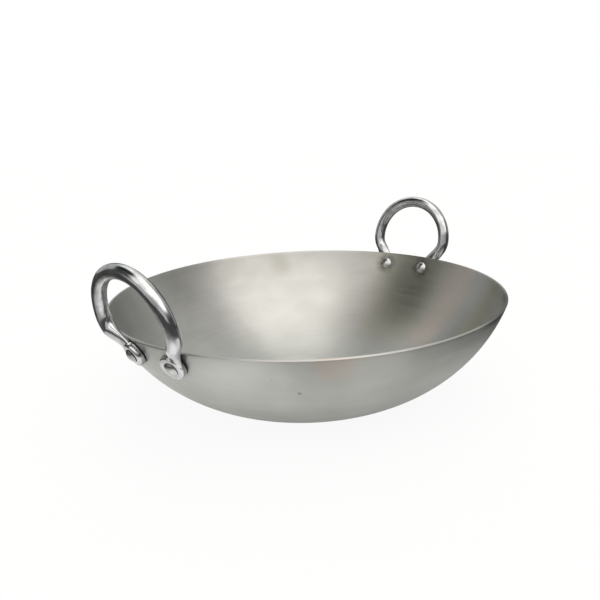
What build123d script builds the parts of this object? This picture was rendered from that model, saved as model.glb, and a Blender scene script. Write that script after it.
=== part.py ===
from build123d import *
from math import asin, atan, cos, degrees, radians, sin, sqrt, tan
import os

# Kadai: a pressed steel bowl with two ring handles, each held by two rivets.
# The origin is the centre of the flat base, Z is up, and the handles stand on the X axis.
# Lengths are in millimetres and angles in degrees.

os.makedirs("parts", exist_ok=True)

# Bowl: outside sizes of the pressed sheet
rim_radius = 152.5
bowl_depth = 81.0
base_radius = 39.5
sheet = 2.0
rim_edge_round = 0.5

# Ring handle: a round rod bent to an open ring that leans outwards, with legs that turn in to the rivets
rod_diameter = 10.0
ring_radius = 35.0
ring_rise = 15.2
ring_lean = 11.6
leg_bend_radius = 16.0
leg_bend = 37.0
leg_gap = 0.4

# Neck and pad: each end of the rod, hammered out flat against the wall
shoulder = 0.2
shoulder_lap = 1.0
neck_width = 11.6
neck_thickness = 6.0
neck_share = 0.5
heel_width = 13.5
heel_thickness = 4.2
heel_gap = 0.5
pad_diameter = 18.5
pad_thickness = 4.6
pad_edge_round = 1.6
pad_gap = 0.1

# Rivets: one through each pad and the wall
rivet_spacing = 39.0
rivet_drop = 10.0
shank_diameter = 6.0
shank_clearance = 0.1
head_diameter = 11.0
head_height = 2.6
head_edge = 0.5
tail_diameter = 10.5
tail_height = 2.2
head_gap = 0.05

# How far a cutter runs past what it cuts
overrun = 5.0

# The wall is one arc that leaves the flat base level and ends at the rim
rim_slope = 2 * degrees(atan(bowl_depth / (rim_radius - base_radius)))
wall_arc = (rim_radius - base_radius) / sin(radians(rim_slope))


def wall_seat(across, drop):
    """Plane on the outside of the wall at the +X handle, Z outwards and Y up the wall.

    across is the distance from the handle's middle, and drop is how far it lies below the rim.
    """
    height = bowl_depth - drop
    radius = base_radius + sqrt(wall_arc**2 - (wall_arc - height) ** 2)
    turn = asin(across / radius)
    outwards = (radius - base_radius) / wall_arc
    upwards = (height - wall_arc) / wall_arc
    return Plane(
        origin=(radius * cos(turn), radius * sin(turn), height),
        x_dir=(-sin(turn), cos(turn), 0),
        z_dir=(outwards * cos(turn), outwards * sin(turn), upwards),
    )


# One handle's two rivet seats, and how far each handle is turned from the +X side
seats = {
    "front": wall_seat(-rivet_spacing / 2, rivet_drop),
    "back": wall_seat(rivet_spacing / 2, rivet_drop),
}
hands = {"right": 0, "left": 180}


# Bowl: a flat base and one arc, with the inner face a sheet inside the outer one, turned about Z
with BuildPart() as bowl:
    with BuildSketch(Plane.XZ):
        with BuildLine():
            outer_base = Line((0, 0), (base_radius, 0))
            outer_wall = TangentArc(outer_base @ 1, (rim_radius, bowl_depth), tangent=outer_base % 1)
            rim_edge = PolarLine(outer_wall @ 1, sheet, angle=rim_slope + 90)
            inner_base = Line((0, sheet), (base_radius, sheet))
            TangentArc(inner_base @ 1, rim_edge @ 1, tangent=inner_base % 1)
            Line(outer_base @ 0, inner_base @ 0)
        make_face()
    revolve(axis=Axis.Z)
    rim_edges = bowl.edges().filter_by(GeomType.CIRCLE).sort_by(Axis.Z)[-2:]
    fillet(rim_edges, rim_edge_round)
    for turn in hands.values():
        with PolarLocations(0, 1, start_angle=turn):
            with Locations(*[seat.location for seat in seats.values()]):
                Cylinder(
                    shank_diameter / 2 + shank_clearance,
                    2 * (sheet + overrun),
                    mode=Mode.SUBTRACT,
                )


# Ring: its legs pass just outside the rim, so its place is measured from the rim beside them
bend_across = ring_radius - leg_bend_radius
leg_end_across = bend_across + leg_bend_radius * cos(radians(leg_bend))
leg_end_rise = ring_rise / cos(radians(ring_lean)) - leg_bend_radius * sin(radians(leg_bend))
leg_across = leg_end_across - leg_end_rise * tan(radians(leg_bend))
rim_beside_leg = sqrt(rim_radius**2 - leg_across**2)
ring_foot = rim_beside_leg + rod_diameter / 2 / cos(radians(ring_lean)) + leg_gap
ring_plane = Plane(
    origin=(ring_foot + ring_rise * tan(radians(ring_lean)), 0, bowl_depth + ring_rise),
    x_dir=(0, 1, 0),
    z_dir=(cos(radians(ring_lean)), 0, -sin(radians(ring_lean))),
)
with BuildLine(ring_plane) as ring:
    back_leg = CenterArc((bend_across, 0), leg_bend_radius, -leg_bend, leg_bend)
    CenterArc((0, 0), ring_radius, 0, 180)
    front_leg = CenterArc((-bend_across, 0), leg_bend_radius, 180, leg_bend)


def neck_line(seat, leg_end, onwards):
    """Smooth curve from a leg of the ring to its heel, the place inside the pad where the neck ends."""
    pad_middle = seat.origin + seat.z_dir * (pad_gap + pad_thickness / 2)
    to_pad = pad_middle - leg_end
    inwards = (to_pad - seat.z_dir * to_pad.dot(seat.z_dir)).normalized()
    heel = pad_middle - inwards * (tail_diameter / 2 + heel_gap)
    with BuildLine() as neck:
        Spline(leg_end, heel, tangents=(onwards, inwards))
    return neck.line


# Each end of the rod: its seat, and where the leg ends and which way it runs there
rod_ends = (
    (seats["front"], front_leg @ 1, front_leg % 1),
    (seats["back"], back_leg @ 0, -(back_leg % 0)),
)
ring_side = ring_plane.z_dir
hammered = rod_diameter - 2 * shoulder

# Handle: a round ring, and at each end a neck that flattens into a disc with a rounded edge
with BuildPart() as handle:
    with BuildSketch(Plane(back_leg @ 0, x_dir=ring_side, z_dir=back_leg % 0)):
        Circle(rod_diameter / 2)
    sweep(path=ring.wire())

    for seat, leg_end, onwards in rod_ends:
        neck = neck_line(seat, leg_end, onwards)
        with BuildSketch(Plane(leg_end - onwards * shoulder_lap, x_dir=ring_side, z_dir=onwards)):
            Circle(hammered / 2)
        for share, width, thickness, facing in (
            (0, hammered, hammered, ring_side),
            (neck_share, neck_width, neck_thickness, ring_side + seat.z_dir),
            (1, heel_width, heel_thickness, seat.z_dir),
        ):
            across = facing.cross(neck % share)
            with BuildSketch(Plane(neck @ share, x_dir=across, z_dir=neck % share)):
                Ellipse(width / 2, thickness / 2)
        loft()

        with BuildSketch(Plane(seat.origin, x_dir=seat.x_dir, z_dir=-seat.y_dir)):
            with Locations((pad_diameter / 4, pad_gap + pad_thickness / 2)):
                pad_half = Rectangle(pad_diameter / 2, pad_thickness)
            fillet(pad_half.vertices().sort_by(Axis.X)[-1:], pad_edge_round)
        revolve(axis=Axis(seat.origin, seat.z_dir))

    with Locations(*[seat.location for seat in seats.values()]):
        Cylinder(
            shank_diameter / 2 + shank_clearance,
            2 * (pad_thickness + overrun),
            mode=Mode.SUBTRACT,
        )


# Rivet: a domed head inside the bowl, and a tail hammered over on the pad
head_seat = sheet + head_gap + (head_diameter / 2) ** 2 / (2 * (wall_arc - sheet))
tail_seat = pad_gap + pad_thickness + head_gap

with BuildPart() as rivet:
    with BuildSketch(Plane.XZ):
        with BuildLine():
            head_top = (0, -head_seat - head_height)
            tail_top = (0, tail_seat + tail_height)
            Line(head_top, tail_top)
            TangentArc(tail_top, (tail_diameter / 2, tail_seat), tangent=(1, 0))
            Polyline(
                (tail_diameter / 2, tail_seat),
                (shank_diameter / 2, tail_seat),
                (shank_diameter / 2, -head_seat),
                (head_diameter / 2, -head_seat),
                (head_diameter / 2, -head_seat - head_edge),
            )
            TangentArc(head_top, (head_diameter / 2, -head_seat - head_edge), tangent=(1, 0))
        make_face()
    revolve(axis=Axis.Z)


# The bowl, and each handle and each rivet as a piece of its own
bowl.part.label = "bowl"
export_step(bowl.part, "parts/bowl.step")
print(bowl.part.label, round(bowl.part.volume), bowl.part.is_valid, bowl.part.bounding_box())

for hand, turn in hands.items():
    with BuildPart() as handle_copy:
        with PolarLocations(0, 1, start_angle=turn):
            add(handle.part)
    handle_copy.part.label = f"handle_{hand}"
    export_step(handle_copy.part, f"parts/handle_{hand}.step")
    print(handle_copy.part.label, round(handle_copy.part.volume), handle_copy.part.is_valid)
    for side, seat in seats.items():
        with BuildPart() as rivet_copy:
            with PolarLocations(0, 1, start_angle=turn):
                with Locations(seat.location):
                    add(rivet.part)
        rivet_copy.part.label = f"rivet_{hand}_{side}"
        export_step(rivet_copy.part, f"parts/rivet_{hand}_{side}.step")
        print(rivet_copy.part.label, round(rivet_copy.part.volume), rivet_copy.part.is_valid)
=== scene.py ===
# %% [markdown]
# A kadai is a round-bottomed cooking bowl: one sheet of steel, pressed to shape and then turned against an
# abrasive, with a ring handle riveted outside the rim on each side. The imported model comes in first, as a
# fixed frame. It says where every piece is, and nothing made here may leave its box.

# %% Load the fixed frame
from math import asin, atan, atan2, cos, degrees, hypot, pi, radians, sin, sqrt, tan

import bmesh
import bpy
from mathutils import Matrix, Vector, noise
from mathutils.geometry import interpolate_bezier


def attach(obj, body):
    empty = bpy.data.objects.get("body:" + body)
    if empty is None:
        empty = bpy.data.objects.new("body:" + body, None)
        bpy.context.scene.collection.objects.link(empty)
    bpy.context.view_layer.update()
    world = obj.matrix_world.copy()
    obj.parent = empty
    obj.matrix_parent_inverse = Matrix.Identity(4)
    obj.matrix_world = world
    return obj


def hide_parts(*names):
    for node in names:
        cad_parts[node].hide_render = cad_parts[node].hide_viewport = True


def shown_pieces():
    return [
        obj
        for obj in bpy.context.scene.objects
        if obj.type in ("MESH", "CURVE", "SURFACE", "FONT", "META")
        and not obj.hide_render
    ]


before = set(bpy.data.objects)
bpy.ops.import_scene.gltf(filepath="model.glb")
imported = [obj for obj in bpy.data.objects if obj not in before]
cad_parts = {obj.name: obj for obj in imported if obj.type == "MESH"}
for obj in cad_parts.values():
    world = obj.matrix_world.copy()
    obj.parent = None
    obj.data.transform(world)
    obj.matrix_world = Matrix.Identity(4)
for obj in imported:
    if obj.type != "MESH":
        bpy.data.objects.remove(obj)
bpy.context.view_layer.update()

# %% [markdown]
# Blender works in metres and a workshop drawing in millimetres, so each size is written in millimetres and
# multiplied once. The bowl's wall is a single arc that leaves the flat base level and ends at the rim: its
# radius and its slope at the rim follow from the depth and the two radii.

# %% Sizes of the bowl
MM = 0.001
rim_radius = 152.5 * MM
bowl_depth = 81.0 * MM
base_radius = 39.5 * MM
sheet = 2.0 * MM
rim_edge_round = 0.5 * MM

rim_slope = 2 * atan(bowl_depth / (rim_radius - base_radius))
wall_arc = (rim_radius - base_radius) / sin(rim_slope)
print(f"wall arc {wall_arc / MM:.1f} mm, slope at the rim {degrees(rim_slope):.1f} degrees")

# %% [markdown]
# The camera stands where the photograph was taken from: close, low and turned a little about its own line
# of sight. Its lens, distance and direction were found by matching the rim and the two rings.

# %% Camera
camera_azimuth = radians(-48.93)
camera_elevation = radians(16.06)
camera_roll = radians(-2.31)
camera_distance = 0.4999
camera_target = Vector((-3.23, 3.71, 72.97)) * MM

camera = bpy.data.objects.new("camera", bpy.data.cameras.new("camera"))
bpy.context.scene.collection.objects.link(camera)
bpy.context.scene.camera = camera
camera.data.lens = 37.73
camera.data.sensor_width = 36
camera.data.clip_start = 0.01
towards_camera = Vector((
    sin(camera_azimuth) * cos(camera_elevation),
    -cos(camera_azimuth) * cos(camera_elevation),
    sin(camera_elevation),
))
camera.rotation_mode = "QUATERNION"
level = (-towards_camera).to_track_quat("-Z", "Y")
camera.rotation_quaternion = level @ Matrix.Rotation(camera_roll, 3, "Z").to_quaternion()
camera.location = camera_target + towards_camera * camera_distance
print("camera at", tuple(round(v, 4) for v in camera.location))

# %% [markdown]
# Every new piece ends the same way: its bmesh becomes a mesh, its faces are shaded smooth, and it rides on
# the body that the kadai is. The imported piece that it stands for is hidden.

# %% Finish a piece
def make_piece(name, shape, node):
    """Mesh object from a bmesh that stands for one node of the frame."""
    mesh = bpy.data.meshes.new(name)
    shape.to_mesh(mesh)
    shape.free()
    mesh.shade_smooth()
    piece = bpy.data.objects.new(name, mesh)
    bpy.context.scene.collection.objects.link(piece)
    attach(piece, "root")
    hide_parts(node)
    print(name, len(mesh.vertices), "vertices", len(mesh.polygons), "faces")
    return piece


# %% [markdown]
# The bowl is drawn the way it is turned. A pen draws half of its section: along the underside of the base,
# up the outside of the wall, across the cut edge of the rim and back down the inside. The corners of the
# cut edge are broken a little, as an abrasive stone breaks them, and the lathe turns the line all round.
# A spin keeps every ring of points at one height, so highlights run clean round the wall.

# %% Pen strokes for a section
def draw_to(shape, point, x, z):
    """Straight stroke from a point of the section."""
    drawn = bmesh.ops.extrude_vert_indiv(shape, verts=[point])["verts"][0]
    drawn.co = Vector((x, 0, z))
    return drawn


def draw_arc(shape, point, centre_x, centre_z, angle, steps):
    """Arc stroke about a centre; a positive angle turns from Z towards X."""
    arc = bmesh.ops.spin(
        shape, geom=[point], cent=(centre_x, 0, centre_z), axis=(0, 1, 0), angle=angle, steps=steps
    )
    return next(drawn for drawn in arc["geom_last"] if isinstance(drawn, bmesh.types.BMVert))


def turn_on_lathe(shape, steps):
    """Turn the section about Z, and close the seam and the two poles."""
    bmesh.ops.spin(
        shape, geom=shape.verts[:] + shape.edges[:], cent=(0, 0, 0), axis=(0, 0, 1),
        angle=2 * pi, steps=steps, use_merge=True,
    )
    bmesh.ops.remove_doubles(shape, verts=shape.verts, dist=0.001 * MM)
    bmesh.ops.recalc_face_normals(shape, faces=shape.faces)


# %% Bowl
wall_steps = 56
turn_steps = 256
edge_steps = 4

bowl_shape = bmesh.new()
start = bowl_shape.verts.new((0, 0, 0))
base_edge = draw_to(bowl_shape, start, base_radius, 0)
rim_outside = draw_arc(bowl_shape, base_edge, base_radius, wall_arc, -rim_slope, wall_steps)
print("outer rim corner", tuple(round(v / MM, 2) for v in rim_outside.co))
rim_inside = draw_to(
    bowl_shape, rim_outside,
    rim_outside.co.x - sheet * sin(rim_slope), rim_outside.co.z + sheet * cos(rim_slope),
)
base_inside = draw_arc(bowl_shape, rim_inside, base_radius, wall_arc, rim_slope, wall_steps)
print("inner edge of the base", tuple(round(v / MM, 2) for v in base_inside.co))
draw_to(bowl_shape, base_inside, 0, base_inside.co.z)
bmesh.ops.bevel(
    bowl_shape, geom=[rim_outside, rim_inside], offset=rim_edge_round, affect="VERTICES",
    segments=edge_steps, profile=0.5, material=-1,
)
turn_on_lathe(bowl_shape, turn_steps)
bowl = make_piece("kadai_bowl", bowl_shape, "bowl")

# %% [markdown]
# Each handle is one round rod. It is bent to half a ring that leans outwards, its legs are bent in more
# tightly towards the rivets, and its two ends are hammered flat against the wall. The places come from the
# same sizes as the drawing: the rivets sit a set distance below the rim, and the legs pass just outside it.

# %% Sizes of the handles
rod_diameter = 10.0 * MM
ring_radius = 35.0 * MM
ring_rise = 15.2 * MM
ring_lean = radians(11.6)
leg_bend_radius = 16.0 * MM
leg_bend = radians(37.0)
leg_gap = 0.4 * MM
rivet_spacing = 39.0 * MM
rivet_drop = 10.0 * MM


def wall_seat(across, drop):
    """Place on the outside of the wall at the +X handle, with Z outwards and Y up the wall."""
    height = bowl_depth - drop
    radius = base_radius + sqrt(wall_arc**2 - (wall_arc - height) ** 2)
    turn = asin(across / radius)
    outwards = Vector((
        (radius - base_radius) / wall_arc * cos(turn),
        (radius - base_radius) / wall_arc * sin(turn),
        (height - wall_arc) / wall_arc,
    ))
    round_wall = Vector((-sin(turn), cos(turn), 0))
    up_wall = outwards.cross(round_wall)
    seat = Matrix((round_wall, up_wall, outwards)).transposed().to_4x4()
    seat.translation = Vector((radius * cos(turn), radius * sin(turn), height))
    return seat


seats = {"front": wall_seat(-rivet_spacing / 2, rivet_drop), "back": wall_seat(rivet_spacing / 2, rivet_drop)}
for side, seat in seats.items():
    print(side, "rivet through the wall at", tuple(round(v / MM, 1) for v in seat.translation))

# %% Ring: its plane, the middles of its bends and the ends of its legs
bend_across = ring_radius - leg_bend_radius
leg_end_across = bend_across + leg_bend_radius * cos(leg_bend)
leg_end_rise = ring_rise / cos(ring_lean) - leg_bend_radius * sin(leg_bend)
leg_across = leg_end_across - leg_end_rise * tan(leg_bend)
ring_foot = sqrt(rim_radius**2 - leg_across**2) + rod_diameter / 2 / cos(ring_lean) + leg_gap
ring_middle = Vector((ring_foot + ring_rise * tan(ring_lean), 0, bowl_depth + ring_rise))
ring_side = Vector((cos(ring_lean), 0, -sin(ring_lean)))
ring_up = Vector((sin(ring_lean), 0, cos(ring_lean)))

bend_middles, leg_ends, onwards = {}, {}, {}
for side, hand in (("back", 1), ("front", -1)):
    aside = hand * Vector((0, 1, 0))
    bend_middles[side] = ring_middle + bend_across * aside
    leg_ends[side] = ring_middle + leg_end_across * aside - leg_bend_radius * sin(leg_bend) * ring_up
    onwards[side] = -(sin(leg_bend) * aside + cos(leg_bend) * ring_up)
    print(side, "leg ends at", tuple(round(v / MM, 1) for v in leg_ends[side]))

# %% [markdown]
# A blacksmith draws the neck out of the round rod, so its section changes from a circle to a flat oval
# while it curves in to the wall. Here one loop of edges does the same: it is extruded along a curve in
# short steps, and a matrix gives it its width, thickness and facing at each step.

# %% Neck: a section that is extruded along a curve
neck_steps = 24
neck_shares = (0.0, 0.5, 1.0)
neck_widths = (rod_diameter, 11.6 * MM, 13.5 * MM)
neck_thicknesses = (rod_diameter, 6.0 * MM, 4.2 * MM)
pad_diameter = 18.5 * MM
pad_thickness = 4.6 * MM
pad_gap = 0.1 * MM
tail_diameter = 10.5 * MM
heel_gap = 0.5 * MM


def through_three(shares, values, share):
    """Value at a share on the smooth curve through three values."""
    (a, b, c), (u, v, w) = shares, values
    return (
        u * (share - b) * (share - c) / ((a - b) * (a - c))
        + v * (share - a) * (share - c) / ((b - a) * (b - c))
        + w * (share - a) * (share - b) / ((c - a) * (c - b))
    )


def section(place, along, facing, width, thickness):
    """Matrix that lays a unit circle square to a direction, as an oval that is thin along facing."""
    across = facing.cross(along).normalized()
    thin = along.cross(across)
    columns = Matrix((across * width / 2, thin * thickness / 2, along)).transposed().to_4x4()
    columns.translation = place
    return columns


def neck_sections(side):
    """Sections from a leg's end to its heel, inside the pad."""
    seat = seats[side]
    outwards = seat.col[2].xyz
    leg_end = leg_ends[side]
    pad_middle = seat @ Vector((0, 0, pad_gap + pad_thickness / 2))
    to_pad = pad_middle - leg_end
    inwards = (to_pad - outwards * to_pad.dot(outwards)).normalized()
    heel = pad_middle - inwards * (tail_diameter / 2 + heel_gap)
    reach = (heel - leg_end).length / 3
    line = interpolate_bezier(
        leg_end, leg_end + onwards[side] * reach, heel - inwards * reach, heel, neck_steps + 1
    )
    directions = [onwards[side]] + [(b - a).normalized() for a, b in zip(line, line[2:])] + [inwards]
    found = []
    for step, (place, along) in enumerate(zip(line, directions)):
        share = step / neck_steps
        found.append(section(
            place, along, ring_side.lerp(outwards, share),
            through_three(neck_shares, neck_widths, share),
            through_three(neck_shares, neck_thicknesses, share),
        ))
    return found


def forge_neck(shape, loop, side):
    """Extrude the loop at a leg's end along its neck, and close the heel."""
    sections = neck_sections(side)
    for before, after in zip(sections, sections[1:]):
        step = bmesh.ops.extrude_edge_only(shape, edges=loop)["geom"]
        points = [item for item in step if isinstance(item, bmesh.types.BMVert)]
        bmesh.ops.transform(shape, matrix=after @ before.inverted(), verts=points)
        loop = [
            edge for edge in step
            if isinstance(edge, bmesh.types.BMEdge) and all(end in points for end in edge.verts)
        ]
    bmesh.ops.edgeloop_fill(shape, edges=loop)


# %% Handle: ring, necks and pads
ring_steps = 96
bend_steps = 12
rod_sides = 64
pad_edge_steps = 5
pad_edge_round = 1.6 * MM


def loop_edges(shape, centre):
    """Open edges round one end of the ring."""
    return [
        edge for edge in shape.edges
        if edge.is_boundary and (edge.verts[0].co - centre).length < rod_diameter
    ]


handle_shape = bmesh.new()
bmesh.ops.create_circle(
    handle_shape, segments=rod_sides, radius=1,
    matrix=section(leg_ends["back"], -onwards["back"], ring_side, rod_diameter, rod_diameter),
)
rod_end = handle_shape.verts[:] + handle_shape.edges[:]
for middle, angle, steps in (
    (bend_middles["back"], leg_bend, bend_steps),
    (ring_middle, pi, ring_steps),
    (bend_middles["front"], leg_bend, bend_steps),
):
    rod_end = bmesh.ops.spin(
        handle_shape, geom=rod_end, cent=middle, axis=ring_side, angle=angle, steps=steps
    )["geom_last"]
for side, leg_end in leg_ends.items():
    forge_neck(handle_shape, loop_edges(handle_shape, leg_end), side)
for seat in seats.values():
    pad = bmesh.ops.create_cone(
        handle_shape, cap_ends=True, segments=rod_sides, radius1=pad_diameter / 2, radius2=pad_diameter / 2,
        depth=pad_thickness, matrix=seat @ Matrix.Translation((0, 0, pad_gap + pad_thickness / 2)),
    )["verts"]
    top_height = pad_gap + pad_thickness / 2
    top = [point for point in pad if (seat.inverted() @ point.co).z > top_height]
    bmesh.ops.bevel(
        handle_shape, geom=[edge for edge in handle_shape.edges if all(end in top for end in edge.verts)],
        offset=pad_edge_round, affect="EDGES", segments=pad_edge_steps, profile=0.5, material=-1,
    )
bmesh.ops.recalc_face_normals(handle_shape, faces=handle_shape.faces)

# %% [markdown]
# Ring, necks and pads are still separate shells that run through each other, and on the real handle they
# are one forging. A voxel remesh turns them into one skin, as clay would be, and a little smoothing rounds
# the corner between neck and pad the way a hammer does.

# %% Join the handle into one skin
skin_voxel = 0.36 * MM
smooth_rounds = 6


def one_skin(shape, voxel, rounds):
    """Mesh of a bmesh remeshed to one skin and smoothed."""
    mesh = bpy.data.meshes.new("skin")
    shape.to_mesh(mesh)
    shape.free()
    rough = bpy.data.objects.new("skin", mesh)
    bpy.context.scene.collection.objects.link(rough)
    remesh = rough.modifiers.new("one skin", "REMESH")
    remesh.mode = "VOXEL"
    remesh.voxel_size = voxel
    smooth = rough.modifiers.new("rounded by the hammer", "SMOOTH")
    smooth.factor = 0.5
    smooth.iterations = rounds
    evaluated = rough.evaluated_get(bpy.context.evaluated_depsgraph_get())
    skin = bmesh.new()
    skin.from_mesh(evaluated.to_mesh())
    evaluated.to_mesh_clear()
    bpy.data.objects.remove(rough)
    return skin


handle_skin = one_skin(handle_shape, skin_voxel, smooth_rounds)
print("handle skin", len(handle_skin.verts), "points")

# %% [markdown]
# Drawn and hammered rod is never a perfect cylinder. Long shallow flats run along it, and its feet are full
# of small dents. In polished steel these are what breaks a reflection into streaks, so they are real here:
# every point is pushed in along its normal by a smooth noise. For the long flats that noise is read in the
# rod's own places, its length along the ring and the place in its section, where it can be slow one way and
# quick the other. Those places are found from the top of the ring down: round its half circle, round the
# tighter bend of the leg, and straight on down the leg. They are kept on the mesh, so that the polish lines
# can follow the rod too. Near the feet the flats fade and the dents deepen.

# %% Work the surface
flat_depth = 0.14 * MM
dent_depth = 0.05 * MM
foot_dent_depth = 0.12 * MM
flats_lost_at_foot = 0.5
flats_along = 28.0
flats_round = 380.0
dents = 160.0
feet_below = (bowl_depth - 1 * MM, bowl_depth + 4 * MM)


def rod_place(point):
    """Place along the rod from the ring's top, across the ring's plane, and out from the rod's middle."""
    from_middle = point - ring_middle
    across = from_middle.dot(ring_side)
    hand = 1 if from_middle.y > 0 else -1
    aside, up = abs(from_middle.y), from_middle.dot(ring_up)
    if up > 0:
        return Vector((hand * ring_radius * atan2(aside, up), across, hypot(aside, up) - ring_radius))
    from_bend = Vector((aside - bend_across, up))
    turned = min(atan2(-up, from_bend.x), leg_bend)
    past_bend = from_bend.dot(Vector((-sin(turned), -cos(turned))))
    out = from_bend.dot(Vector((cos(turned), -sin(turned)))) - leg_bend_radius
    return Vector((hand * (ring_radius * pi / 2 + leg_bend_radius * turned + past_bend), across, out))


def work_surface(skin):
    """Push every point in by the depth of the flats and dents there."""
    skin.normal_update()
    rod_layer = skin.verts.layers.float_vector.new("rod_place")
    foot_low, foot_high = feet_below
    deepest = 0
    for point in skin.verts:
        along, across, out = point[rod_layer] = rod_place(point.co)
        foot = min(max((foot_high - point.co.z) / (foot_high - foot_low), 0), 1)
        flats = 1 + noise.noise((along * flats_along, across * flats_round, out * flats_round))
        dimples = 1 + noise.noise(point.co * dents)
        dimple_depth = dent_depth + (foot_dent_depth - dent_depth) * foot
        depth = flat_depth * (1 - flats_lost_at_foot * foot) * flats + dimple_depth * dimples
        point.co -= point.normal * depth
        deepest = max(deepest, depth)
    print(f"deepest dent {deepest / MM:.2f} mm")


work_surface(handle_skin)
hands = {"right": 0, "left": pi}
handles = {}
for hand, turn in hands.items():
    turned = handle_skin.copy()
    bmesh.ops.rotate(turned, cent=(0, 0, 0), matrix=Matrix.Rotation(turn, 3, "Z"), verts=turned.verts)
    handles[hand] = make_piece(f"ring_handle_{hand}", turned, f"handle_{hand}")
handle_skin.free()

# %% [markdown]
# A rivet is turned like the bowl: a domed head inside, a shank through the wall and the pad, and outside a
# tail that was hammered over into a second dome. The hammer leaves both domes slightly dented.

# %% Rivets
shank_diameter = 6.0 * MM
head_diameter = 11.0 * MM
head_height = 2.6 * MM
head_edge = 0.5 * MM
tail_height = 2.2 * MM
head_gap = 0.05 * MM
head_seat = sheet + head_gap + (head_diameter / 2) ** 2 / (2 * (wall_arc - sheet))
tail_seat = pad_gap + pad_thickness
dome_steps = 16
rivet_steps = 64
dome_edge_round = 0.45 * MM
rivet_dent_depth = 0.04 * MM
rivet_dents = 330.0


def dome(half_width, rise):
    """Radius and half angle of a round cap of that half width and rise."""
    radius = (half_width**2 + rise**2) / (2 * rise)
    return radius, asin(half_width / radius)


def rivet_shape():
    """Section of a rivet along Z, from the middle of the tail to the middle of the head."""
    shape = bmesh.new()
    tail_radius, tail_angle = dome(tail_diameter / 2, tail_height)
    head_radius, head_angle = dome(head_diameter / 2, head_height - head_edge)
    top = shape.verts.new((0, 0, tail_seat + tail_height))
    rim = draw_arc(shape, top, 0, tail_seat + tail_height - tail_radius, tail_angle, dome_steps)
    neck = draw_to(shape, rim, shank_diameter / 2, tail_seat)
    end = draw_to(shape, neck, shank_diameter / 2, -head_seat)
    under = draw_to(shape, end, head_diameter / 2, -head_seat)
    edge = draw_to(shape, under, head_diameter / 2, -head_seat - head_edge)
    draw_arc(shape, edge, 0, head_radius - head_seat - head_height, head_angle, dome_steps)
    bmesh.ops.bevel(
        shape, geom=[rim, edge], offset=dome_edge_round, affect="VERTICES",
        segments=edge_steps, profile=0.5, material=-1,
    )
    turn_on_lathe(shape, rivet_steps)
    shape.normal_update()
    for point in shape.verts:
        point.co -= point.normal * rivet_dent_depth * (1 + noise.noise(point.co * rivet_dents))
    return shape


for hand, turn in hands.items():
    for side, seat in seats.items():
        rivet = rivet_shape()
        place = Matrix.Rotation(turn, 4, "Z") @ seat
        bmesh.ops.transform(rivet, matrix=place, verts=rivet.verts)
        make_piece(f"rivet_{hand}_{side}_domed", rivet, f"rivet_{hand}_{side}")

# %% [markdown]
# The finishes are built from nodes, a few at a time. Two short helpers keep them readable: one adds a node
# with its settings and inputs, the other does a sum.

# %% Node helpers
def add(tree, kind, inputs=None, **settings):
    """Shader node with its settings, and each input linked to a socket or set to a value."""
    made = tree.nodes.new(kind)
    for name, value in settings.items():
        setattr(made, name, value)
    for name, value in (inputs or {}).items():
        if isinstance(value, bpy.types.NodeSocket):
            tree.links.new(value, made.inputs[name])
        else:
            made.inputs[name].default_value = value
    return made


def calc(tree, operation, *values):
    """Result of a Math node."""
    return add(tree, "ShaderNodeMath", dict(enumerate(values)), operation=operation).outputs[0]


def scaled(tree, vector, factors):
    """Vector multiplied by three factors."""
    return add(tree, "ShaderNodeVectorMath", {0: vector, 1: factors}, operation="MULTIPLY").outputs[0]


def fit(tree, value, low, high, to_low, to_high):
    """Value moved smoothly from one range to another."""
    return add(
        tree, "ShaderNodeMapRange",
        {"Value": value, "From Min": low, "From Max": high, "To Min": to_low, "To Max": to_high},
        interpolation_type="SMOOTHSTEP",
    ).outputs["Result"]


def cloud(tree, vector, scale, detail=2.0):
    """Noise between 0 and 1."""
    return add(
        tree, "ShaderNodeTexNoise", {"Vector": vector, "Scale": scale, "Detail": detail}
    ).outputs["Fac"]


def blend_colours(tree, factor, first, second):
    """Mix of two colours."""
    mixed = add(tree, "ShaderNodeMix", data_type="RGBA")
    for socket, value in ((0, factor), (6, first), (7, second)):
        if isinstance(value, bpy.types.NodeSocket):
            tree.links.new(value, mixed.inputs[socket])
        else:
            mixed.inputs[socket].default_value = value
    return mixed.outputs[2]


def new_material(name):
    """Material with an empty steel shader."""
    material = bpy.data.materials.new(name)
    material.use_nodes = True
    tree = material.node_tree
    steel = tree.nodes["Principled BSDF"]
    steel.inputs["Metallic"].default_value = 1.0
    return material, tree, steel
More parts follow.
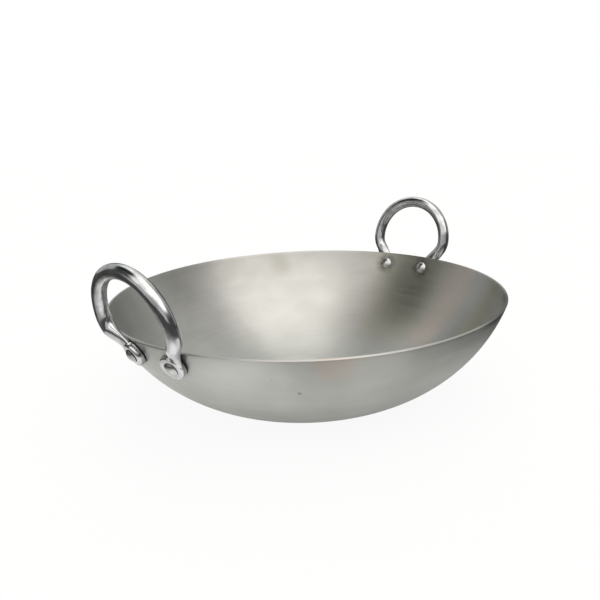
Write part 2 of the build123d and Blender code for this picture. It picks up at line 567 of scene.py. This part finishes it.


# %% [markdown]
# The bowl is turned against an abrasive, so its lines run round it. Such fine lines spread a reflection
# across themselves: every highlight becomes a wedge that runs from the middle to the rim. The shader does
# this with anisotropy, along a direction that points up the wall at every place.
#
# Cooking has tinted the steel. A tint is either a wedge of the wall, with its azimuth and the angles within
# which it is full and beyond which it is gone, or a round patch, with its place and two distances. One patch,
# beside a leg of the left handle, is painted shadow of the gap between neck and wall. Round the rivets, grime
# and painted contact shade darken the wall, and a dark band under the rim on one side is a painted dark
# reflection.

# %% Satin steel of the bowl
steel_colour = (0.46, 0.46, 0.448)
straw_colour = (0.485, 0.449, 0.415)
smoke_colour = (0.40, 0.392, 0.365)
blue_colour = (0.428, 0.438, 0.428)
olive_colour = (0.457, 0.46, 0.408)
# grime together with painted contact shade, darkening the wall round each rivet
grime_and_shade_colour = (0.19, 0.18, 0.15)
grime_and_shade_reach = (6.0, 12.5)
# painted shade: the shadow in the gap beside a leg, and the dark reflection under the rim
painted_shade_colour = (0.16, 0.158, 0.15)
speck_colour = (0.27, 0.268, 0.255)
heat_wedges = (
    (-4.0, 8.0, 20.0, olive_colour),
    (-48.0, 4.0, 11.0, olive_colour),
    (-28.8, 3.0, 12.0, straw_colour),
    (-39.0, 1.0, 6.5, blue_colour),
)
tint_and_shade_patches = (
    ((92.9, 112.5, 69.4), 3.0, 15.0, smoke_colour),
    ((-104.7, -108.9, 77.4), 6.0, 18.0, straw_colour),
    ((0.0, 0.0, -6.0), 80.0, 112.0, blue_colour),
    # painted shadow of the gap between a neck and the wall
    ((-147.3, -24.3, 73.5), 2.0, 7.5, painted_shade_colour),
    ((-110.8, -86.7, 56.3), 0.5, 1.8, speck_colour),
    ((-124.8, -77.6, 67.6), 0.4, 1.4, smoke_colour),
)
# painted dark reflection in a band under the rim
rim_shade_azimuth = -76.0
rim_shade_width = (6.0, 20.0)
rim_shade_height = (74.5, 79.5)
rim_shade_share = 0.85
fine_lines = (5.0, 2600.0, 3.0)
coarse_lines = (2.0, 260.0, 3.0)
line_height = 0.1 * MM
satin_spread = 0.8
quarter_turn = 0.25


def nearness_to(tree, place, spot, full, gone):
    """One within a distance of a spot, and nothing beyond a larger one, in millimetres."""
    apart = add(
        tree, "ShaderNodeVectorMath", {0: place, 1: tuple(v * MM for v in spot)}, operation="DISTANCE"
    ).outputs["Value"]
    return fit(tree, apart, full * MM, gone * MM, 1.0, 0.0)


def wedge_round(tree, direction, azimuth, full, gone):
    """One within an angle of an azimuth, and nothing beyond a larger one, in degrees."""
    middle = (cos(radians(azimuth)), sin(radians(azimuth)), 0)
    facing = add(
        tree, "ShaderNodeVectorMath", {0: direction, 1: middle}, operation="DOT_PRODUCT"
    ).outputs["Value"]
    return fit(tree, facing, cos(radians(gone)), cos(radians(full)), 0.0, 1.0)


def satin_steel():
    """Steel with turned lines round Z."""
    material, tree, steel = new_material("satin turned steel")
    place = add(tree, "ShaderNodeTexCoord").outputs["Object"]
    flat = scaled(tree, place, (1, 1, 0))
    direction = add(tree, "ShaderNodeVectorMath", {0: flat}, operation="NORMALIZE").outputs[0]
    radius = add(tree, "ShaderNodeVectorMath", {0: flat}, operation="LENGTH").outputs["Value"]
    height = add(tree, "ShaderNodeSeparateXYZ", {0: place}).outputs["Z"]
    run = calc(tree, "ADD", radius, height)
    around = add(tree, "ShaderNodeSeparateXYZ", {0: direction})

    def lines(turns, per_metre, detail):
        vector = add(tree, "ShaderNodeCombineXYZ", {
            "X": calc(tree, "MULTIPLY", around.outputs["X"], turns),
            "Y": calc(tree, "MULTIPLY", around.outputs["Y"], turns),
            "Z": calc(tree, "MULTIPLY", run, per_metre),
        }).outputs[0]
        return cloud(tree, vector, 1.0, detail)

    fine = lines(*fine_lines)
    coarse = lines(*coarse_lines)
    patches = cloud(tree, place, 14.0, 3.0)
    tone = (*steel_colour, 1)
    for azimuth, full, gone, colour in heat_wedges:
        tone = blend_colours(tree, wedge_round(tree, direction, azimuth, full, gone), tone, (*colour, 1))
    for spot, full, gone, colour in tint_and_shade_patches:
        tone = blend_colours(tree, nearness_to(tree, place, spot, full, gone), tone, (*colour, 1))
    # painted dark reflection under the rim on one side
    low, high = rim_shade_height
    rim_shaded = calc(
        tree, "MULTIPLY", wedge_round(tree, direction, rim_shade_azimuth, *rim_shade_width),
        fit(tree, height, low * MM, high * MM, 0.0, rim_shade_share),
    )
    tone = blend_colours(tree, rim_shaded, tone, (*painted_shade_colour, 1))
    # grime and painted contact shade round each rivet, inside and out
    for hand, turn in hands.items():
        for seat in seats.values():
            seat_place = Matrix.Rotation(turn, 4, "Z") @ seat.translation / MM
            grime_and_shade = nearness_to(tree, place, seat_place, *grime_and_shade_reach)
            patchy = fit(tree, cloud(tree, place, 260.0, 3.0), 0.3, 0.6, 0.2, 0.75)
            tone = blend_colours(tree, calc(tree, "MULTIPLY", grime_and_shade, patchy), tone, (*grime_and_shade_colour, 1))
    worn_tone = fit(tree, cloud(tree, place, 30.0, 4.0), 0.3, 0.7, 0.93, 1.04)
    streak_tone = fit(tree, coarse, 0.3, 0.7, 0.965, 1.03)
    tinted = add(tree, "ShaderNodeVectorMath", {
        0: tone, "Scale": calc(tree, "MULTIPLY", worn_tone, streak_tone)
    }, operation="SCALE").outputs[0]
    tree.links.new(tinted, steel.inputs["Base Color"])
    rough = calc(
        tree, "ADD", fit(tree, coarse, 0.3, 0.7, -0.03, 0.03), fit(tree, patches, 0.3, 0.7, 0.38, 0.44)
    )
    tree.links.new(rough, steel.inputs["Roughness"])
    steel.inputs["Anisotropic"].default_value = satin_spread
    tangent = add(
        tree, "ShaderNodeVectorMath", {0: direction, 1: (0, 0, 1)}, operation="CROSS_PRODUCT"
    ).outputs[0]
    tree.links.new(tangent, steel.inputs["Tangent"])
    steel.inputs["Anisotropic Rotation"].default_value = quarter_turn
    bump = add(tree, "ShaderNodeBump", {"Height": fine, "Strength": 0.15, "Distance": line_height})
    tree.links.new(bump.outputs[0], steel.inputs["Normal"])
    return material


bowl.data.materials.append(satin_steel())

# %% [markdown]
# The rods and rivets are rubbed bright, so they show the room sharply. What keeps them from looking like
# glass is wear: a cloud of duller, darker stain, and polish lines that change the roughness a little. On a
# rod the lines run its own way, read from the places kept on its mesh.

# %% Polished steel of the rods and rivets
stain_shade = 0.72
rod_line_scale = (60, 1400, 1400)


def polished_steel(name, colour, roughness, rod_lines):
    """Steel polished bright over its hammer marks, with lines along the rod where it has them."""
    material, tree, steel = new_material(name)
    place = add(tree, "ShaderNodeTexCoord").outputs["Object"]
    if rod_lines:
        own_place = add(tree, "ShaderNodeAttribute", attribute_name="rod_place").outputs["Vector"]
        lines = cloud(tree, scaled(tree, own_place, rod_line_scale), 1.0, 4.0)
    else:
        lines = cloud(tree, place, 700.0, 4.0)
    worn = cloud(tree, place, 120.0, 4.0)
    stained = fit(tree, worn, 0.42, 0.62, 0.0, 1.0)
    dark = tuple(stain_shade * channel for channel in colour)
    tone = blend_colours(tree, stained, (*colour, 1), (*dark, 1))
    tree.links.new(tone, steel.inputs["Base Color"])
    rough = calc(
        tree, "ADD", fit(tree, lines, 0.3, 0.7, -0.3 * roughness, 0.3 * roughness),
        fit(tree, worn, 0.3, 0.7, 0.8 * roughness, 1.3 * roughness),
    )
    tree.links.new(rough, steel.inputs["Roughness"])
    bump = add(tree, "ShaderNodeBump", {"Height": lines, "Strength": 0.25, "Distance": line_height})
    tree.links.new(bump.outputs[0], steel.inputs["Normal"])
    return material


rod_steel = polished_steel("polished rod steel", (0.505, 0.515, 0.53), 0.10, True)
rivet_steel = polished_steel("hammered rivet steel", (0.47, 0.475, 0.475), 0.24, False)
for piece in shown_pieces():
    if piece is not bowl:
        piece.data.materials.append(rod_steel if piece in handles.values() else rivet_steel)

# %% [markdown]
# Bright metal has hardly a colour of its own: it shows the room. A product studio is a dim room with a few
# large soft panels hung round the table, and the world does the same here. Each panel is a direction, seen
# from the camera's side of the table, a width in degrees and a brightness. Later panels hang in front of
# earlier ones, so a black one cuts a dark wedge into the bowl. The walls of the room are dark near the
# table, which gives a polished rod its dark edges, and a low white card stands in front, beside the camera.
# The camera itself sees plain white.

# %% Room
bpy.context.scene.view_settings.view_transform = "Standard"
wall_level = 0.12
room_level = 0.62
wall_top = (8, 30)
warm = (1.0, 0.965, 0.905)
plain_white = (1.0, 1.0, 0.97)
low_cards = (
    ("low white card in front", -22, 8, 42, 72, 24, 40, 0.75),
)
panels = (
    ("bounce card behind the table", 180, 46, 18, 36, 1.25, plain_white),
    ("soft light overhead", 0, 76, 30, 62, 2.15, warm),
    ("soft light to the left", -44, 40, 14, 27, 1.75, warm),
    ("soft light to the right", 47, 41, 8, 26, 2.45, warm),
    ("black card to the left", -103, 54, 15, 32, 0.05, plain_white),
    ("dark doorway, right", 115, 0, 25, 45, 0.20, plain_white),
    ("grey card low on the right", 126, 12, 9, 26, 0.55, plain_white),
    ("dim wall, right", 118, 46, 9, 29, 0.74, plain_white),
    ("dark doorway, left", -135, 0, 15, 35, 0.15, plain_white),
    ("grey card low on the left", -132, 16, 14, 30, 0.65, plain_white),
    ("black card low on the left", -84, 28, 9, 23, 0.10, plain_white),
)
world = bpy.data.worlds.new("studio")
bpy.context.scene.world = world
world.use_nodes = True
room = world.node_tree
towards = add(room, "ShaderNodeTexCoord").outputs["Generated"]


def round_the_table(azimuth, elevation):
    """Direction at an azimuth to the right of the camera's side, and an elevation, in degrees."""
    turn = camera_azimuth + radians(azimuth)
    rise = radians(elevation)
    return Vector((sin(turn) * cos(rise), -cos(turn) * cos(rise), sin(rise)))


def lit(level, tint=plain_white):
    """Colour of a brightness and a tint."""
    return (*(level * channel for channel in tint), 1)


lift = add(room, "ShaderNodeSeparateXYZ", {0: towards}).outputs["Z"]
elevation_seen = calc(room, "ARCSINE", lift)
above_wall = fit(room, elevation_seen, *(radians(angle) for angle in wall_top), 0.0, 1.0)
seen = blend_colours(room, above_wall, lit(wall_level), lit(room_level))
for title, azimuth, elevation, full, gone, tall_full, tall_gone, level in low_cards:
    ahead = round_the_table(azimuth, 0)
    to_right = round_the_table(azimuth + 90, 0)
    front, side = (
        add(room, "ShaderNodeVectorMath", {0: towards, 1: axis}, operation="DOT_PRODUCT").outputs["Value"]
        for axis in (ahead, to_right)
    )
    aside = calc(room, "ABSOLUTE", calc(room, "ARCTAN2", side, front))
    off_middle = calc(room, "ABSOLUTE", calc(room, "SUBTRACT", elevation_seen, radians(elevation)))
    inside = calc(
        room, "MULTIPLY", fit(room, aside, radians(full), radians(gone), 1.0, 0.0),
        fit(room, off_middle, radians(tall_full), radians(tall_gone), 1.0, 0.0),
    )
    seen = blend_colours(room, inside, seen, lit(level))
    print(title, "brightness", level)
for title, azimuth, elevation, full, gone, level, tint in panels:
    nearness = add(
        room, "ShaderNodeVectorMath", {0: towards, 1: round_the_table(azimuth, elevation)},
        operation="DOT_PRODUCT",
    ).outputs["Value"]
    inside = fit(room, nearness, cos(radians(gone)), cos(radians(full)), 0.0, 1.0)
    seen = blend_colours(room, inside, seen, lit(level, tint))
    print(title, "brightness", level)
background = room.nodes["Background"]
room.links.new(seen, background.inputs["Color"])
white = add(room, "ShaderNodeBackground", {"Color": (1, 1, 1, 1), "Strength": 1.0})
world_rays = add(room, "ShaderNodeLightPath")
choice = add(
    room, "ShaderNodeMixShader",
    {0: world_rays.outputs["Is Camera Ray"], 1: background.outputs[0], 2: white.outputs[0]},
)
room.links.new(choice.outputs[0], room.nodes["World Output"].inputs["Surface"])

# %% [markdown]
# The kadai stands on a sheet of white paper. The camera and the metal see the paper bright, and the rest
# of its light is real, so the soft shadow under the bowl stays. What the outside of the wall mirrors is the
# paper close by, where a glow is painted for the metal: two painted pools of light in front, a painted shade
# under the bowl, and painted dark beyond its edges. Each pool has its azimuth and distance, and how far it is
# full and where it is gone, in metres.

# %% Floor
paper_middle = 0.06 * round_the_table(-60, 0)
paper_radius = 0.11
# the glow the metal sees is painted: pools of light, dark beyond the paper, shade under the bowl
painted_dark_from = 0.34
paper_level = 1.18
painted_dark_level = 0.06
pools = (
    ("pool of light, front left", -27, 0.20, 0.02, 0.10, 1.45),
    ("pool of light, front right", 24, 0.20, 0.02, 0.07, 1.15),
    # painted dark reflections on the paper to the sides
    ("painted dark, right", 101, 0.32, 0.085, 0.112, 0.03),
    ("painted dark, left", -95, 0.42, 0.12, 0.26, 0.04),
    ("painted dark, back left", -150, 0.30, 0.10, 0.20, 0.05),
)
# painted shade under the bowl, in the glow the metal sees
painted_shade_under_bowl = (0.09, 0.165, 0.44)
floor_radius = 4.0
metal_share = 0.95
camera_share = 0.92
floor_shape = bmesh.new()
bmesh.ops.create_circle(floor_shape, cap_ends=True, segments=64, radius=floor_radius)
floor_mesh = bpy.data.meshes.new("floor")
floor_shape.to_mesh(floor_mesh)
floor_shape.free()
floor = bpy.data.objects.new("floor", floor_mesh)
bpy.context.scene.collection.objects.link(floor)
paper = bpy.data.materials.new("white paper")
paper.use_nodes = True
tree = paper.node_tree
plain = tree.nodes["Principled BSDF"]
plain.inputs["Base Color"].default_value = (0.85, 0.85, 0.85, 1)
plain.inputs["Roughness"].default_value = 0.9
plain.inputs["Specular IOR Level"].default_value = 0.0
floor_place = add(tree, "ShaderNodeTexCoord").outputs["Object"]


def away_from(middle):
    """Distance on the floor from a place."""
    return add(
        tree, "ShaderNodeVectorMath", {0: floor_place, 1: middle}, operation="DISTANCE"
    ).outputs["Value"]


sheet_level = fit(tree, away_from(paper_middle), paper_radius, painted_dark_from, paper_level, painted_dark_level)
for title, azimuth, distance, full, gone, level in pools:
    inside = fit(tree, away_from(distance * round_the_table(azimuth, 0)), full, gone, 1.0, 0.0)
    more = calc(tree, "MULTIPLY", inside, calc(tree, "SUBTRACT", level, sheet_level))
    sheet_level = calc(tree, "ADD", sheet_level, more)
    print(title, "brightness", level)
# painted shade under the bowl
shade_inner, shade_outer, shade_level = painted_shade_under_bowl
shade = fit(tree, away_from((0, 0, 0)), shade_inner, shade_outer, shade_level, 1.0)
sheet_level = calc(tree, "MULTIPLY", sheet_level, shade)
rays = add(tree, "ShaderNodeLightPath")
camera_glow = add(tree, "ShaderNodeEmission", {"Color": (1, 1, 1, 1), "Strength": 1.0})
metal_glow = add(tree, "ShaderNodeEmission", {"Color": (1, 1, 0.96, 1), "Strength": sheet_level})
for_metal = add(tree, "ShaderNodeMixShader", {
    0: calc(tree, "MULTIPLY", rays.outputs["Is Glossy Ray"], metal_share),
    1: plain.outputs[0],
    2: metal_glow.outputs[0],
})
for_camera = add(tree, "ShaderNodeMixShader", {
    0: calc(tree, "MULTIPLY", rays.outputs["Is Camera Ray"], camera_share),
    1: for_metal.outputs[0],
    2: camera_glow.outputs[0],
})
tree.links.new(for_camera.outputs[0], tree.nodes["Material Output"].inputs["Surface"])
floor.data.materials.append(paper)
